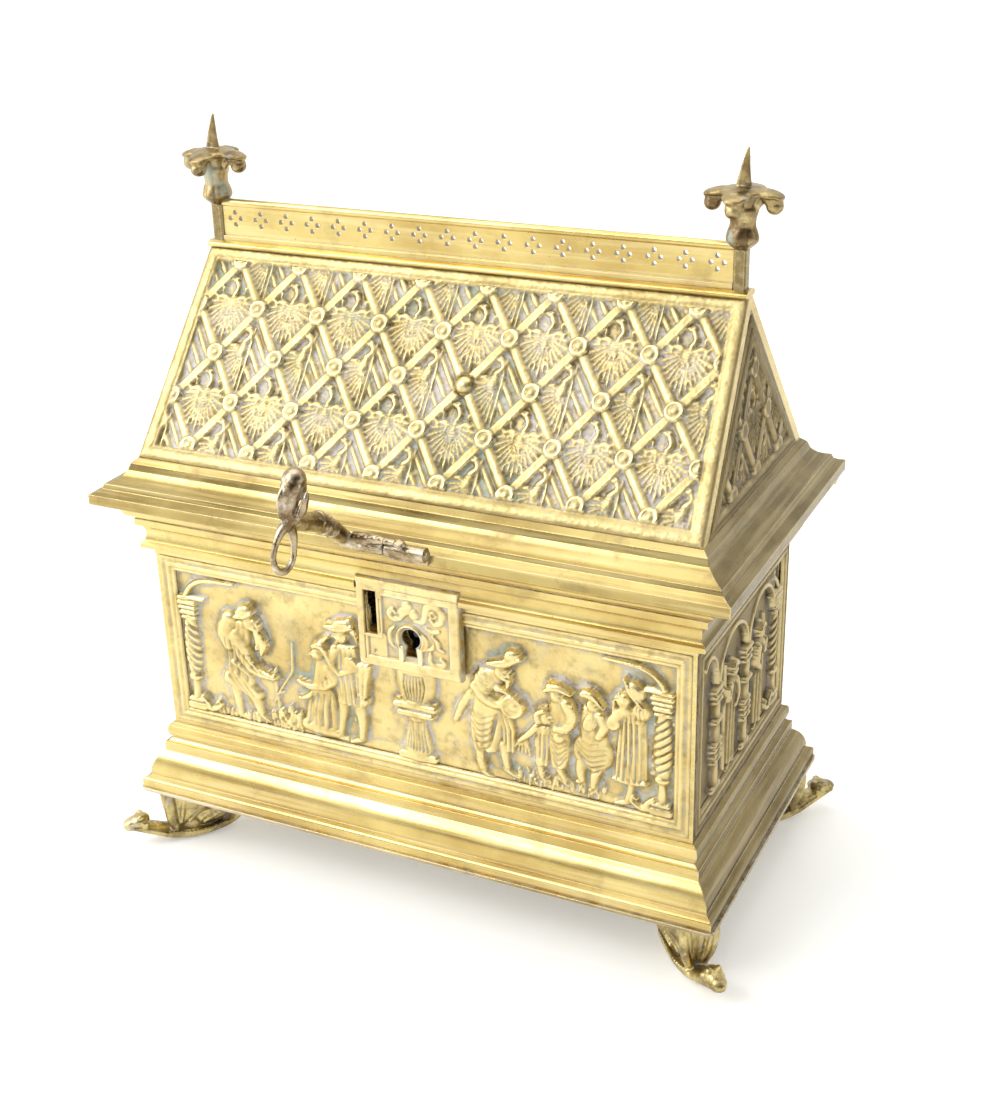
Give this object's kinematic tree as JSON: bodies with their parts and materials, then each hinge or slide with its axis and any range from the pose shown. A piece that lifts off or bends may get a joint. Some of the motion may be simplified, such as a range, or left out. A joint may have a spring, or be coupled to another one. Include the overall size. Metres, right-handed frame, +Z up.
{
  "type": "tabernacle box",
  "caption": "Gabled cast brass casket with relief panels, a pierced ridge rail, finials, scroll feet, a swinging hasp and a hinged lid.",
  "frame": {"origin": "on the table, under the centre of the case's footprint", "axes": "+X along the front from left to right, +Y from the front to the hinged back, +Z up"},
  "size_m": [0.2122, 0.1541, 0.2347],
  "materials": {
    "moulded_brass": "polished cast brass, worn, brown in the quirks",
    "relief_brass": "cast brass relief, polished on top, pale residue in the ground",
    "cast_bronze": "darker cast bronze with brown and green tarnish",
    "hinge_brass": "dull sheet brass, brown tarnish",
    "lock_steel": "dark plain steel"
  },
  "bodies": {
    "case": {"plinth_front": "moulded_brass", "plinth_right": "moulded_brass", "plinth_back": "moulded_brass", "plinth_left": "moulded_brass", "case_cornice_front": "moulded_brass", "case_cornice_right": "moulded_brass", "case_cornice_back": "moulded_brass", "case_cornice_left": "moulded_brass", "base_plate": "moulded_brass", "lock_plate": "moulded_brass", "panel_front": "relief_brass", "panel_right": "relief_brass", "panel_back": "relief_brass", "panel_left": "relief_brass", "foot_front_right": "cast_bronze", "foot_front_left": "cast_bronze", "foot_back_right": "cast_bronze", "foot_back_left": "cast_bronze", "hinge_case_leaf": "hinge_brass", "hinge_case_rivets": "hinge_brass", "lock_case": "lock_steel", "lock_case_rivets": "lock_steel", "bolt_guides": "lock_steel", "lock_spring": "lock_steel", "key_pin": "lock_steel", "hinge_pin": "lock_steel", "foot_screws": "lock_steel"},
    "lid": {"lid_cornice_front": "moulded_brass", "lid_cornice_right": "moulded_brass", "lid_cornice_back": "moulded_brass", "lid_cornice_left": "moulded_brass", "roof_front": "relief_brass", "roof_back": "relief_brass", "gable_left": "relief_brass", "gable_right": "relief_brass", "roof_stud": "relief_brass", "ridge_cap": "moulded_brass", "ridge_rail": "relief_brass", "ridge_post_left": "cast_bronze", "ridge_post_right": "cast_bronze", "finial_left": "cast_bronze", "finial_right": "cast_bronze", "hinge_lid_leaf": "hinge_brass", "hinge_lid_rivets": "hinge_brass", "hasp_bracket": "hinge_brass", "hasp_bracket_rivets": "hinge_brass", "hasp_pin": "lock_steel"},
    "hasp": {"hasp_arm": "cast_bronze", "hasp_staple": "cast_bronze", "hasp_head": "cast_bronze"},
    "lock_bolt": {"lock_bolt": "lock_steel"}
  },
  "joints": [
    {"name": "lid_hinge", "type": "hinge", "parent": "case", "child": "lid", "pos_m": [0, 0.0555, 0.1223], "axis": [-1, 0, 0], "range_deg": [0, 100]},
    {"name": "hasp_hinge", "type": "hinge", "parent": "lid", "child": "hasp", "pos_m": [-0.005, -0.0595, 0.129], "axis": [1, 0, 0], "range_deg": [-45, 140]},
    {"name": "bolt_slide", "type": "slide", "parent": "case", "child": "lock_bolt", "axis": [-1, 0, 0], "range_m": [0, 0.0065]}
  ]
}
